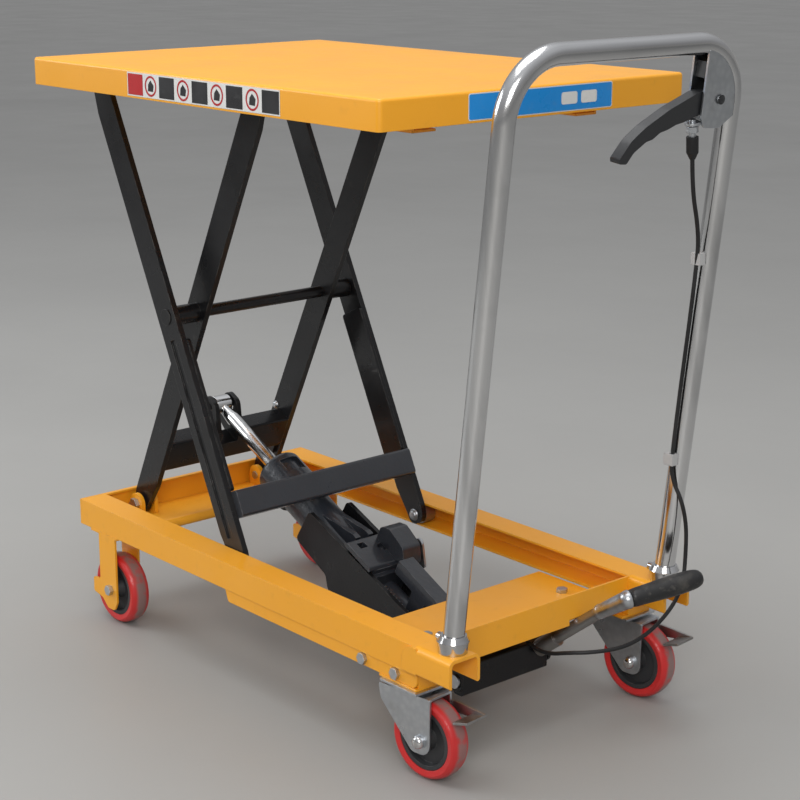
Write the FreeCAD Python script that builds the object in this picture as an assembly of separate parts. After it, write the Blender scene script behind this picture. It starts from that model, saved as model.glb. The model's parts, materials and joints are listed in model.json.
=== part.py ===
import FreeCAD, Part
import math
import os
from FreeCAD import Vector

# Hydraulic scissor lift table on four wheels, drawn with its deck raised.
# Millimetres. +X points to the push handle, +Z up, the floor is Z = 0, and the
# origin lies on the floor under the middle of the whole machine.

# Deck
DECK_LENGTH = 705.0
DECK_WIDTH = 480.0
DECK_SKIRT = 35.0
DECK_TOP = 785.0
DECK_SHEET = 2.5
DECK_X = -68.0
DECK_FRONT = DECK_X - DECK_LENGTH / 2
DECK_REAR = DECK_X + DECK_LENGTH / 2

# Scissor linkage
ARM_LENGTH = 676.0
ARM_WIDTH = 40.0
ARM_THICK = 8.0
ARM_END_RADIUS = 13.0
HINGE_X = -400.0
LOWER_PIVOT_Z = 148.0
UPPER_PIVOT_Z = 755.0
ARM_ANGLE = math.degrees(math.asin((UPPER_PIVOT_Z - LOWER_PIVOT_Z) / ARM_LENGTH))
INNER_ARM_Y = 106.0
OUTER_ARM_Y = 153.0
PIN_RADIUS = 6.0
PIN_FIT = 0.1
ROLLER_RADIUS = 14.5
CENTRE_BOSS_RADIUS = 13.0

# Base frame
RAIL_TOP = 166.0
RAIL_BOTTOM = 130.0
RAIL_OUTER_Y = 197.5
RAIL_INNER_Y = 158.5
RAIL_SHEET = 3.0
BASE_FRONT = -424.0
BASE_REAR = 297.0
FRONT_PLATE_REAR = -335.0
EDGE_BAR_RADIUS = 7.0
SKIRT_BOTTOM = 114.0
SKIRT_FRONT = -76.0
REAR_MEMBER_FRONT = 149.0
REAR_MEMBER_TOP = 134.0
REAR_WEB_BOTTOM = 127.0
REAR_BOLT = (222.0, 115.0)
SKIRT_BOLT_X = (202.0, 261.0)
SKIRT_BOLT_Z = 123.0
SKIRT_BOLT_RADIUS = 4.0

# Wheels
WHEEL_RADIUS = 50.0
WHEEL_WIDTH = 28.0
WHEEL_Y = 178.0
FRONT_WHEEL_X = -351.0
SWIVEL_X = 270.0
CASTER_TRAIL = 28.0
CASTER_TURN = 6.0
AXLE_RADIUS = 5.0
FORK_TOP = 105.0
CASTER_PLATE_TOP = 111.0
FORK_HALF_GAP = 16.0
FORK_SHEET = 3.0
BRAKE_PIVOT = (10.0, 86.0)

# Push handle
HANDLE_FOOT = Vector(335.4, 0, 166.0)
HANDLE_HALF_WIDTH = 177.0
HANDLE_HEIGHT = 671.0
HANDLE_LEAN = 6.8
HANDLE_TUBE = 12.5
HANDLE_WALL = 2.0
HANDLE_BEND = 68.0
SOCKET_REAR = 358.0
SOCKET_TOP = 168.0
LEVER_PIVOT = (146.0, 609.0)

# Cylinder and pump, measured along the cylinder's own axis from its lower pivot
PUMP_PIVOT = Vector(112.0, 0, 54.0)
ROD_PIN_REACH = 141.0
ROD_PIN_RISE = 20.0
BARREL_RADIUS = 28.0
GLAND_REACH = 372.0
HEAD_RADIUS = 33.0
ROD_RADIUS = 10.0
EYE_RADIUS = 13.0
CHEEK_INNER_Y = 30.0
CHEEK_THICK = 6.0
PLUNGER_RADIUS = 6.0
PLUNGER_REACH = 51.0

# Foot pedal
PEDAL_PIVOT = Vector(232.0, 0, 69.5)
PEDAL_HALF_LENGTH = 72.0
PEDAL_TUBE_RADIUS = 8.0
PEDAL_GRIP_RADIUS = 13.5
PEDAL_NECK_RADIUS = 11.5

# Release cable: its sheath runs from the boot under the hand lever to the pump
CABLE_RADIUS = 2.5
CABLE_ROUTE = [
    (403.5, 121, 703), (401, 126, 667), (393, 148, 622), (385, 160, 582), (355, 160.5, 332),
    (359, 161, 305), (371, 165, 282), (374, 172, 250), (373, 174, 212), (378, 166, 182), (380, 152, 160),
    (380, 128, 141), (380, 95, 127), (377, 60, 121), (363, 26, 120), (338, 6, 117), (309, 8, 106),
    (284, 13, 101), (260, 20, 101), (240, 30, 102), (220, 43, 102), (205, 47, 91), (198, 47, 72)]

Y_AXIS = Vector(0, 1, 0)
X_AXIS = Vector(1, 0, 0)
Z_AXIS = Vector(0, 0, 1)
ORIGIN = Vector(0, 0, 0)


def box(x0, x1, y0, y1, z0, z1):
    corner = Vector(min(x0, x1), min(y0, y1), min(z0, z1))
    return Part.makeBox(abs(x1 - x0), abs(y1 - y0), abs(z1 - z0), corner)


def rod(start, end, radius):
    axis = end - start
    return Part.makeCylinder(radius, axis.Length, start, axis)


def rod_y(x, z, y0, y1, radius):
    return rod(Vector(x, y0, z), Vector(x, y1, z), radius)


def rod_z(x, y, z0, z1, radius):
    return rod(Vector(x, y, z0), Vector(x, y, z1), radius)


def hexagon(centre, axis, across, height):
    """A bolt head or nut: a hexagonal prism standing on centre along axis."""
    radius = across / math.sqrt(3)
    corners = [Vector(radius * math.cos(math.radians(60 * i)),
                      radius * math.sin(math.radians(60 * i)), 0) for i in range(6)]
    prism = Part.Face(Part.makePolygon(corners + corners[:1])).extrude(Z_AXIS * height)
    prism.Placement = FreeCAD.Placement(centre, FreeCAD.Rotation(Z_AXIS, axis))
    return prism


def rounded_face(points, radii):
    """A flat face from corner points, each corner rounded by its own radius."""
    count = len(points)
    edges = []
    ends = []
    for i, corner in enumerate(points):
        before = points[i - 1] - corner
        after = points[(i + 1) % count] - corner
        if radii[i] <= 0:
            ends.append((corner, corner, None))
            continue
        half = before.getAngle(after) / 2
        setback = radii[i] / math.tan(half)
        start = corner + before.normalize() * setback
        end = corner + after.normalize() * setback
        middle = corner + (before + after).normalize() * (radii[i] / math.sin(half) - radii[i])
        ends.append((start, end, middle))
    for i in range(count):
        start, end, middle = ends[i]
        if middle is not None:
            edges.append(Part.Arc(start, middle, end).toShape())
        following = ends[(i + 1) % count][0]
        if end.distanceToPoint(following) > 1e-6:
            edges.append(Part.LineSegment(end, following).toShape())
    return Part.Face(Part.Wire(edges))


def plate_xz(points, y0, y1, radius=0.0):
    """A plate in the XZ plane, from (x, z) or (x, z, corner radius) points."""
    corners = [Vector(p[0], y0, p[1]) for p in points]
    radii = [p[2] if len(p) > 2 else radius for p in points]
    return rounded_face(corners, radii).extrude(Vector(0, y1 - y0, 0))


def plate_yz(points, x0, x1, radius=0.0):
    corners = [Vector(x0, p[0], p[1]) for p in points]
    radii = [p[2] if len(p) > 2 else radius for p in points]
    return rounded_face(corners, radii).extrude(Vector(x1 - x0, 0, 0))


def fuse(shapes):
    return shapes[0].multiFuse(shapes[1:]).removeSplitter()


def cut(shape, tools):
    return shape.cut(tools)


def group(solids):
    return Part.makeCompound(solids)


def mirror_y(shape):
    return shape.mirror(ORIGIN, Y_AXIS)


def both_sides(shape):
    return [shape, mirror_y(shape)]


def turned(shape, centre, axis, angle):
    copy = shape.copy()
    copy.rotate(centre, axis, angle)
    return copy


def path_wire(points):
    """Straight runs joined by tangent arcs as large as the shorter run allows."""
    edges = []
    radii = []
    last = points[0]
    for before, corner, after in zip(points, points[1:], points[2:]):
        back = (before - corner)
        ahead = (after - corner)
        turn = math.pi - back.getAngle(ahead)
        setback = 0.45 * min(back.Length, ahead.Length)
        radius = setback / math.tan(turn / 2)
        start = corner + back.normalize() * setback
        end = corner + ahead.normalize() * setback
        reach = radius / math.cos(turn / 2) - radius
        middle = corner + (back + ahead).normalize() * reach
        edges.append(Part.LineSegment(last, start).toShape())
        edges.append(Part.Arc(start, middle, end).toShape())
        radii.append(radius)
        last = end
    edges.append(Part.LineSegment(last, points[-1]).toShape())
    return Part.Wire(edges), radii


def sweep(wire, radius):
    start = wire.Edges[0]
    direction = start.tangentAt(start.FirstParameter)
    circle = Part.Wire([Part.Circle(start.valueAt(start.FirstParameter), direction, radius).toShape()])
    return wire.makePipeShell([circle], True, True)


# ---------------------------------------------------------------- base frame

def side_rail():
    """Channel open inwards that the lower rollers run in, with its lower skirt."""
    rail = box(BASE_FRONT + RAIL_SHEET, BASE_REAR, RAIL_INNER_Y, RAIL_OUTER_Y, RAIL_BOTTOM, RAIL_TOP)
    hollow = box(BASE_FRONT, BASE_REAR - RAIL_SHEET, RAIL_INNER_Y - 1, RAIL_OUTER_Y - RAIL_SHEET,
                 RAIL_BOTTOM + RAIL_SHEET, RAIL_TOP - RAIL_SHEET)
    skirt = plate_xz([(SKIRT_FRONT, RAIL_BOTTOM + 1), (SKIRT_FRONT + 6, SKIRT_BOTTOM, 5),
                      (BASE_REAR, SKIRT_BOTTOM, 8), (BASE_REAR, RAIL_BOTTOM + 1)],
                     RAIL_OUTER_Y - 1 - RAIL_SHEET, RAIL_OUTER_Y - 1)
    return fuse([rail.cut(hollow), skirt])


def front_cross_channel():
    """Front web, wide bottom plate and the round bar along the plate's rear edge."""
    web = box(BASE_FRONT, BASE_FRONT + RAIL_SHEET, -RAIL_OUTER_Y, RAIL_OUTER_Y, RAIL_BOTTOM, RAIL_TOP)
    half = RAIL_INNER_Y - 0.5
    lip = box(BASE_FRONT, BASE_FRONT + 7, -half, half, RAIL_TOP - RAIL_SHEET, RAIL_TOP)
    floor = box(BASE_FRONT, FRONT_PLATE_REAR, -half, half, RAIL_BOTTOM, RAIL_BOTTOM + RAIL_SHEET)
    bar = rod_y(FRONT_PLATE_REAR, RAIL_BOTTOM + RAIL_SHEET / 2, -half, half, EDGE_BAR_RADIUS)
    return fuse([web, lip, floor, bar])


def arm_hinge_ears():
    """A pair of round-topped ears each side of both inner arms' lower ends."""
    ears = []
    foot = RAIL_BOTTOM + RAIL_SHEET
    for y0 in (INNER_ARM_Y - 14, INNER_ARM_Y + 8):
        ear = plate_xz([(HINGE_X - 15, foot), (HINGE_X + 15, foot),
                        (HINGE_X + 15, LOWER_PIVOT_Z + 15, 14.5), (HINGE_X - 15, LOWER_PIVOT_Z + 15, 14.5)],
                       y0, y0 + 6)
        ear = ear.cut(rod_y(HINGE_X, LOWER_PIVOT_Z, y0 - 1, y0 + 7, PIN_RADIUS))
        ears += both_sides(ear)
    return group(ears)


def rear_cross_member():
    """Low plate between the rails, closed at the rear by an upright web as high as they are."""
    half = RAIL_INNER_Y - 0.5
    plate_half = OUTER_ARM_Y - 6
    plate = box(REAR_MEMBER_FRONT, BASE_REAR - 1, -plate_half, plate_half, REAR_MEMBER_TOP - RAIL_SHEET,
                REAR_MEMBER_TOP)
    lip = box(REAR_MEMBER_FRONT, REAR_MEMBER_FRONT + RAIL_SHEET, -plate_half, plate_half,
              REAR_MEMBER_TOP - 12, REAR_MEMBER_TOP)
    web = box(BASE_REAR - RAIL_SHEET, BASE_REAR, -half, half, REAR_WEB_BOTTOM, RAIL_TOP)
    tube_notch = box(BASE_REAR - 5, BASE_REAR + 1, 52, 84, REAR_WEB_BOTTOM - 1, REAR_WEB_BOTTOM + 8)
    bolts = both_sides(rod_z(REAR_BOLT[0], REAR_BOLT[1], 100, 140, 4))
    return fuse([plate, lip, web]).cut(bolts + [tube_notch])


def handle_socket():
    """Inverted channel that carries one leg of the handle, with a tab along the rail's side."""
    y0 = 155.0
    y1 = RAIL_OUTER_Y + 4
    low = RAIL_BOTTOM + 4
    outer = plate_yz([(y0, low, 3), (y1, low, 3), (y1, SOCKET_TOP, 8), (y0, SOCKET_TOP, 8)],
                     BASE_REAR, SOCKET_REAR)
    inner = plate_yz([(y0 + 4, low - 1), (y1 - 4, low - 1), (y1 - 4, SOCKET_TOP - 4, 5),
                      (y0 + 4, SOCKET_TOP - 4, 5)], BASE_REAR + 4, SOCKET_REAR + 1)
    tab = plate_xz([(BASE_REAR - 21, low, 3), (BASE_REAR + 4, low), (BASE_REAR + 4, SOCKET_TOP - 2),
                    (BASE_REAR - 21, SOCKET_TOP - 2, 18)], RAIL_OUTER_Y, y1)
    return fuse([outer.cut(inner), tab])


def caster_mount():
    """Plate under the end of the rail that one caster is bolted to."""
    plate = box(232, BASE_REAR, 147, RAIL_OUTER_Y, CASTER_PLATE_TOP, SKIRT_BOTTOM)
    web = box(246, BASE_REAR, RAIL_INNER_Y, RAIL_INNER_Y + RAIL_SHEET, SKIRT_BOTTOM, RAIL_BOTTOM)
    cap = box(BASE_REAR - RAIL_SHEET, BASE_REAR, RAIL_INNER_Y, RAIL_OUTER_Y - 4.5, SKIRT_BOTTOM, RAIL_BOTTOM)
    return fuse([plate, web, cap])


def rear_brackets():
    """Two plates that hold the pump's pivot and two short ones that hold the pedal's."""
    x, z = PUMP_PIVOT.x, PUMP_PIVOT.z
    parts = []
    pump = plate_xz([(x - 17, z - 17, 16.5), (x + 17, z - 17, 16), (208, 62, 10), (208, 97, 6),
                     (224, REAR_MEMBER_TOP - RAIL_SHEET), (156, REAR_MEMBER_TOP - RAIL_SHEET),
                     (156, 114, 12), (x - 17, z + 22, 16)], 37.5, 42.5)
    parts += both_sides(pump.cut(rod_y(x, z, 30, 50, 7.0)))
    px, pz = PEDAL_PIVOT.x, PEDAL_PIVOT.z
    y0 = PEDAL_HALF_LENGTH + 1
    hanger = plate_xz([(px - 13, pz - 14, 12), (px + 10, pz - 14, 9.5), (px + 10, REAR_MEMBER_TOP - RAIL_SHEET),
                       (px - 13, REAR_MEMBER_TOP - RAIL_SHEET)], y0, y0 + 4)
    parts += both_sides(hanger.cut(rod_y(px, pz, y0 - 1, y0 + 5, PIN_RADIUS)))
    return group(parts)


def skirt_bolt_shanks(start, end):
    """Round bodies through the right skirt at its two bolts, between two Y values."""
    return [rod_y(x, SKIRT_BOLT_Z, start, end, SKIRT_BOLT_RADIUS) for x in SKIRT_BOLT_X]


def frame_fasteners():
    """Bolts and pins of the base: skirt, rear member, arm hinges, pump and pedal pivots."""
    parts = []
    face = RAIL_OUTER_Y - 1
    for x, shank in zip(SKIRT_BOLT_X, skirt_bolt_shanks(face - 8, face)):
        parts += both_sides(fuse([hexagon(Vector(x, face, SKIRT_BOLT_Z), Y_AXIS, 13, 5), shank]))
    bolt_x, bolt_y = REAR_BOLT
    head = hexagon(Vector(bolt_x, bolt_y, REAR_MEMBER_TOP), Z_AXIS, 13, 5)
    parts += both_sides(fuse([head, rod_z(bolt_x, bolt_y, 120, REAR_MEMBER_TOP, 4)]))
    pin = fuse([rod_y(HINGE_X, LOWER_PIVOT_Z, INNER_ARM_Y - 16, INNER_ARM_Y + 15, PIN_RADIUS),
                hexagon(Vector(HINGE_X, INNER_ARM_Y + 14, LOWER_PIVOT_Z), Y_AXIS, 16, 6)])
    parts += both_sides(pin)
    parts.append(fuse([rod_y(PUMP_PIVOT.x, PUMP_PIVOT.z, -43, 43, 7.0),
                       rod_y(PUMP_PIVOT.x, PUMP_PIVOT.z, 42.5, 46, 10.0),
                       rod_y(PUMP_PIVOT.x, PUMP_PIVOT.z, -46, -42.5, 10.0)]))
    y0 = PEDAL_HALF_LENGTH
    stub = fuse([rod_y(PEDAL_PIVOT.x, PEDAL_PIVOT.z, y0 - 14, y0 + 5, PIN_RADIUS),
                 rod_y(PEDAL_PIVOT.x, PEDAL_PIVOT.z, y0 + 5, y0 + 8, 9.0)])
    parts += both_sides(stub)
    return group(parts)



# ---------------------------------------------------------------- wheels

def front_wheel_bracket():
    """Folded bracket under the rail: flange, two side plates with an ear at the front."""
    x = FRONT_WHEEL_X
    outline = [(x - 44, 58, 3), (x - 44, 37, 3), (x - 22, 33, 8), (x - 8, 21, 6), (x + 8, 21, 7), (x + 15, 34, 10),
               (x + 15, RAIL_BOTTOM - 3), (x - 26, RAIL_BOTTOM - 3), (x - 26, 60, 4)]
    outer = plate_xz(outline, WHEEL_Y + 17, WHEEL_Y + 20)
    inner = plate_xz(outline, WHEEL_Y - 20, WHEEL_Y - 17)
    flange = plate_xz([(x - 46, RAIL_BOTTOM - 3), (x + 20, RAIL_BOTTOM - 3), (x + 20, RAIL_BOTTOM),
                       (x - 46, RAIL_BOTTOM)], WHEEL_Y - 20, WHEEL_Y + 20)
    bracket = fuse([outer, inner, flange])
    return bracket.cut(rod_y(x, WHEEL_RADIUS, WHEEL_Y - 25, WHEEL_Y + 25, AXLE_RADIUS))


def front_axle():
    x, z = FRONT_WHEEL_X, WHEEL_RADIUS
    return fuse([rod_y(x, z, WHEEL_Y - 22, WHEEL_Y + 22, AXLE_RADIUS),
                 hexagon(Vector(x, WHEEL_Y + 20, z), Y_AXIS, 13, 6),
                 hexagon(Vector(x, WHEEL_Y - 20, z), -Y_AXIS, 13, 6)])


def wheel_profile(points, x, y):
    """A solid of revolution about the wheel's axle, from (offset along Y, radius) points."""
    corners = [Vector(x, y + p[0], WHEEL_RADIUS + p[1]) for p in points]
    face = Part.Face(Part.makePolygon(corners + corners[:1]))
    return face.revolve(Vector(x, y, WHEEL_RADIUS), Y_AXIS, 360)


def tyre(x, y):
    half = WHEEL_WIDTH / 2
    crown = []
    steps = 8
    for i in range(steps + 1):
        turn = math.pi * i / steps
        crown.append((-(half - 5) * math.cos(turn) - 5 * math.cos(turn), WHEEL_RADIUS - 6 + 6 * math.sin(turn)))
    return wheel_profile([(-half + 1.5, 37.5)] + crown + [(half - 1.5, 37.5)], x, y)


def hub(x, y):
    bore = AXLE_RADIUS + PIN_FIT
    rim = 37.0
    half = WHEEL_WIDTH / 2
    return wheel_profile([(-half - 1, bore), (-half - 1, 11), (-5, 14), (-5, 30), (-half + 2, 32), (-half + 2, rim),
                          (half - 2, rim), (half - 2, 32), (5, 30), (5, 14), (half + 1, 11), (half + 1, bore)], x, y)


def brake_pivot():
    """X and Z of the pin that the brake lever turns on."""
    return SWIVEL_X + CASTER_TRAIL + BRAKE_PIVOT[0], BRAKE_PIVOT[1]


def caster_fork(y):
    """Crown plate and two tapered legs, the brake's pin, and the axle bolt through the tips."""
    x0 = SWIVEL_X
    x1 = SWIVEL_X + CASTER_TRAIL
    tip = WHEEL_RADIUS - 16
    outline = [(x0 - 38, FORK_TOP, 3), (x1 + 15, FORK_TOP, 3), (x1 + 15, tip, 14.5),
               (x1 - 13, tip, 13), (x0 - 34, 86, 10)]
    reach = FORK_HALF_GAP + FORK_SHEET
    parts = [plate_xz(outline, y + FORK_HALF_GAP, y + reach),
             plate_xz(outline, y - reach, y - FORK_HALF_GAP)]
    parts.append(box(x0 - 36, x1 + 14, y - reach + 2, y + reach - 2, FORK_TOP - FORK_SHEET, FORK_TOP))
    fork = fuse(parts).cut(rod_y(x1, WHEEL_RADIUS, y - 30, y + 30, AXLE_RADIUS))
    pin_x, pin_z = brake_pivot()
    pin = rod_y(pin_x, pin_z, y + reach - 1, y + reach + 4, 4)
    pin_head = rod_y(pin_x, pin_z, y + reach + 4, y + reach + 5.5, 6.5)
    fork = fuse([fork, pin, pin_head])
    axle = fuse([rod_y(x1, WHEEL_RADIUS, y - reach - 2, y + reach + 2, AXLE_RADIUS),
                 rod_y(x1, WHEEL_RADIUS, y + reach, y + reach + 4, 8),
                 rod_y(x1, WHEEL_RADIUS, y - reach - 4, y - reach, 8)])
    return [fork, axle]


def caster_brake(y):
    """Lever on the outside of one fork leg, with its foot plate behind the wheel."""
    x1 = SWIVEL_X + CASTER_TRAIL
    pin_x, pin_z = brake_pivot()
    side = y + FORK_HALF_GAP + FORK_SHEET + 0.4
    arm = plate_xz([(pin_x - 9, 94, 7), (pin_x + 12, 94, 5), (x1 + 64, 90.5), (x1 + 64, 88),
                    (x1 + 44, 82, 4), (pin_x - 9, 78, 7)], side, side + 3)
    arm = arm.cut(rod_y(pin_x, pin_z, side - 1, side + 4, 4 + PIN_FIT))
    foot = plate_xz([(x1 + 44, 85), (x1 + 66, 91), (x1 + 66, 88), (x1 + 44, 82)], y - 12, side + 2)
    return fuse([arm, foot])


def caster_top():
    """Top plate bolted under the frame and the swivel race below it."""
    plate = box(SWIVEL_X - 32, SWIVEL_X + 32, WHEEL_Y - 28, WHEEL_Y + 24, CASTER_PLATE_TOP - 3, CASTER_PLATE_TOP)
    race = rod_z(SWIVEL_X, WHEEL_Y, FORK_TOP + 0.2, CASTER_PLATE_TOP - 3, 24)
    return fuse([plate, race])


def turn_caster(shape, y):
    return turned(shape, Vector(SWIVEL_X, y, 0), Z_AXIS, CASTER_TURN)


# ---------------------------------------------------------------- scissor

def raise_inner(shape):
    """From lying along +X at the lower hinge to the raised angle."""
    placed = shape.copy()
    placed.rotate(ORIGIN, Y_AXIS, -ARM_ANGLE)
    placed.translate(Vector(HINGE_X, 0, LOWER_PIVOT_Z))
    return placed


def raise_outer(shape):
    """From lying along +X at the upper hinge down to the raised angle."""
    placed = shape.copy()
    placed.rotate(ORIGIN, Y_AXIS, ARM_ANGLE)
    placed.translate(Vector(HINGE_X, 0, UPPER_PIVOT_Z))
    return placed


def arm_bar(y):
    """Flat bar between the two end pivots, narrowed on its lower side at both ends."""
    half = ARM_WIDTH / 2
    end = ARM_END_RADIUS
    taper = 44.0
    outline = [(-end, -end, 12.5), (4, -end, 20), (taper, -half, 20), (ARM_LENGTH - taper, -half, 20),
               (ARM_LENGTH - 4, -end, 20), (ARM_LENGTH + end, -end, 12.5), (ARM_LENGTH + end, half - 4, 14),
               (ARM_LENGTH - 12, half, 20), (12, half, 20), (-end, half - 4, 14)]
    return plate_xz(outline, y - ARM_THICK / 2, y + ARM_THICK / 2)


def inner_arm():
    """Inner arm with its roller stub and half of the centre boss."""
    y = INNER_ARM_Y
    middle = ARM_LENGTH / 2
    boss = rod_y(middle, 0, y + ARM_THICK / 2, OUTER_ARM_Y - ARM_THICK / 2 - 1, CENTRE_BOSS_RADIUS)
    stub = rod_y(ARM_LENGTH, 0, y, y + 25, PIN_RADIUS)
    collar = rod_y(ARM_LENGTH, 0, y + 4, y + 6, 9)
    arm = fuse([arm_bar(y), boss, stub, collar])
    return raise_inner(arm.cut([rod_y(0, 0, y - 10, y + 10, PIN_RADIUS + PIN_FIT),
                                rod_y(middle, 0, y - 10, OUTER_ARM_Y + 10, 8.0)]))


def outer_arm():
    """Outer arm, its lower half doubled by a plate inside and grooved along its outer face."""
    y = OUTER_ARM_Y
    middle = ARM_LENGTH / 2
    inner_face = y - ARM_THICK / 2
    half = ARM_WIDTH / 2
    start = middle + 36
    stop = ARM_LENGTH - 73 - 19
    liner = plate_xz([(start, -half, 4), (stop, -half, 4), (stop, half + 2, 4), (start, half + 2, 6)],
                     inner_face - 5, inner_face)
    end = ARM_LENGTH - 34
    groove = plate_xz([(start - 4, -7, 2), (end, -7, 2), (end, 5, 2), (start - 4, 5, 2)],
                      y + ARM_THICK / 2 - 2.5, y + ARM_THICK / 2 + 1)
    stub = rod_y(ARM_LENGTH, 0, y, y + 25, PIN_RADIUS)
    collar = rod_y(ARM_LENGTH, 0, y + 4, y + 6, 9)
    arm = fuse([arm_bar(y).cut(groove), liner, stub, collar])
    return raise_outer(arm.cut([rod_y(0, 0, y - 10, y + 10, PIN_RADIUS + PIN_FIT),
                                rod_y(middle, 0, y - 10, y + 10, 8.0 + PIN_FIT)]))


def scissor_shaft():
    """Round bar through both centre bosses, with a washer and head at each end."""
    reach = OUTER_ARM_Y + ARM_THICK / 2
    head = rod_y(ARM_LENGTH / 2, 0, reach + 0.3, reach + 1.2, 11)
    return raise_inner(fuse([rod_y(ARM_LENGTH / 2, 0, -reach - 1.2, reach + 1.2, 8.0), head, mirror_y(head)]))


def inner_cross_channel():
    """Box between the inner arms, notched for the rod's eye, with two slotted lugs."""
    half = INNER_ARM_Y - ARM_THICK / 2
    u0, u1 = 72.0, 122.0
    top = 8.0
    outer = plate_xz([(u0, -20, 3), (u1, -20, 3), (u1, top, 3), (u0, top, 3)], -half, half)
    hollow = plate_xz([(u0 + 3, -17), (u1 - 3, -17), (u1 - 3, top - 3), (u0 + 3, top - 3)], -half + 4, half - 4)
    notch = box(101, u1 + 1, -15, 15, -21, 10)
    wall = box(98, 101, -22, 22, -18, 7)
    parts = [outer.cut([hollow, notch]), wall]
    u, w = ROD_PIN_REACH, ROD_PIN_RISE
    for y0 in (-22.0, 15.0):
        lug = plate_xz([(96, -16, 3), (u1, -16, 12), (u + 14, w - 14, 12), (u + 14, w + 14, 12),
                        (u - 36, w + 14, 12), (96, top, 3)], y0, y0 + 7)
        parts.append(lug)
    body = fuse(parts)
    slot = plate_xz([(u - 27, w - 11.4, 8), (u + 8, w - 11.4, 8), (u + 8, w + 8, 8), (u - 27, w + 8, 8)],
                    -30, 30)
    corner = plate_xz([(u0 - 18, -14), (u0, -14), (u0, 4)], half - 5, half)
    return raise_inner(fuse([body.cut(slot), corner, mirror_y(corner)]))


def outer_cross_beam():
    """Beam across the upper side of the outer arms, with the arch over the cylinder."""
    half = OUTER_ARM_Y - ARM_THICK / 2
    u = ARM_LENGTH - 73
    outer = plate_xz([(u - 18, 8, 4), (u + 18, 8, 4), (u + 18, 32, 4), (u - 18, 32, 4)], -half, half)
    hollow = plate_xz([(u - 15, 11), (u + 15, 11), (u + 15, 29), (u - 15, 29)], -half + 4, half - 4)
    return raise_outer(outer.cut(hollow))


def lower_rollers():
    y0 = OUTER_ARM_Y + 6.4
    roller = rod_y(ARM_LENGTH, 0, y0, y0 + 17, ROLLER_RADIUS)
    roller = roller.cut(rod_y(ARM_LENGTH, 0, y0 - 1, y0 + 18, PIN_RADIUS + PIN_FIT))
    return raise_outer(group(both_sides(roller)))


def upper_rollers():
    y0 = INNER_ARM_Y + 6.4
    roller = rod_y(ARM_LENGTH, 0, y0, y0 + 17, ROLLER_RADIUS)
    roller = roller.cut(rod_y(ARM_LENGTH, 0, y0 - 1, y0 + 18, PIN_RADIUS + PIN_FIT))
    return raise_inner(group(both_sides(roller)))


# ---------------------------------------------------------------- deck

def deck_tray():
    """Pressed tray: flat top with a skirt all round and rounded corners."""
    outer = box(DECK_FRONT, DECK_REAR, -DECK_WIDTH / 2, DECK_WIDTH / 2, DECK_TOP - DECK_SKIRT, DECK_TOP)
    upright = [e for e in outer.Edges if abs(e.tangentAt(e.FirstParameter).z) > 0.9]
    outer = outer.makeFillet(6.0, upright)
    rim = [e for e in outer.Edges if e.BoundBox.ZMin > DECK_TOP - 1]
    outer = outer.makeFillet(4.0, rim)
    t = DECK_SHEET
    inner = box(DECK_FRONT + t, DECK_REAR - t, -DECK_WIDTH / 2 + t, DECK_WIDTH / 2 - t,
                DECK_TOP - DECK_SKIRT - 1, DECK_TOP - t)
    upright = [e for e in inner.Edges if abs(e.tangentAt(e.FirstParameter).z) > 0.9]
    return outer.cut(inner.makeFillet(4.0, upright))


def deck_underframe():
    """Roller channels, cross ribs, hinge ears and hinge pins under the tray."""
    parts = []
    under = DECK_TOP - DECK_SHEET
    y0, y1 = 111.5, 146.0
    x0, x1 = -145.0, DECK_REAR - DECK_SHEET
    low = UPPER_PIVOT_Z - ROLLER_RADIUS - 0.5
    high = UPPER_PIVOT_Z + ROLLER_RADIUS + 0.5
    channel = box(x0, x1, y0, y1, low - 3, under)
    channel = channel.cut([box(x0 - 1, x1 + 1, y0 - 1, y1 - 3, low, high),
                           box(x0 - 1, x1 + 1, y0 - 1, y1 - 3, high + 3, under - 3)])
    lip_end = x1 - 52
    channel = channel.cut(box(lip_end, x1 + 1, y0 - 1, y1 + 1, low - 4, DECK_TOP - DECK_SKIRT + 1))
    parts += both_sides(channel)
    for x in (-300, -68, 190):
        parts.append(box(x - 20, x + 20, -98, 98, under - 6, under))
    for start in (OUTER_ARM_Y - 11, OUTER_ARM_Y + 5):
        ear = plate_xz([(HINGE_X - 15, under), (HINGE_X - 15, UPPER_PIVOT_Z - 15, 14.5),
                        (HINGE_X + 15, UPPER_PIVOT_Z - 15, 14.5), (HINGE_X + 15, under)], start, start + 6)
        parts += both_sides(ear.cut(rod_y(HINGE_X, UPPER_PIVOT_Z, start - 1, start + 7, PIN_RADIUS)))
    pin = fuse([rod_y(HINGE_X, UPPER_PIVOT_Z, OUTER_ARM_Y - 13, OUTER_ARM_Y + 12, PIN_RADIUS),
                hexagon(Vector(HINGE_X, OUTER_ARM_Y + 11, UPPER_PIVOT_Z), Y_AXIS, 16, 6)])
    parts += both_sides(pin)
    return group(parts)


# ---------------------------------------------------------------- cylinder and pump

PIN_RADIUS_ON_ARM = math.hypot(ROD_PIN_REACH, ROD_PIN_RISE)
PIN_ANGLE = math.radians(ARM_ANGLE) + math.atan2(ROD_PIN_RISE, ROD_PIN_REACH)
ROD_PIN = Vector(HINGE_X + PIN_RADIUS_ON_ARM * math.cos(PIN_ANGLE), 0,
                 LOWER_PIVOT_Z + PIN_RADIUS_ON_ARM * math.sin(PIN_ANGLE))
UNIT_LENGTH = (ROD_PIN - PUMP_PIVOT).Length
UNIT_ANGLE = math.degrees(math.atan2(ROD_PIN.z - PUMP_PIVOT.z, PUMP_PIVOT.x - ROD_PIN.x))


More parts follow.
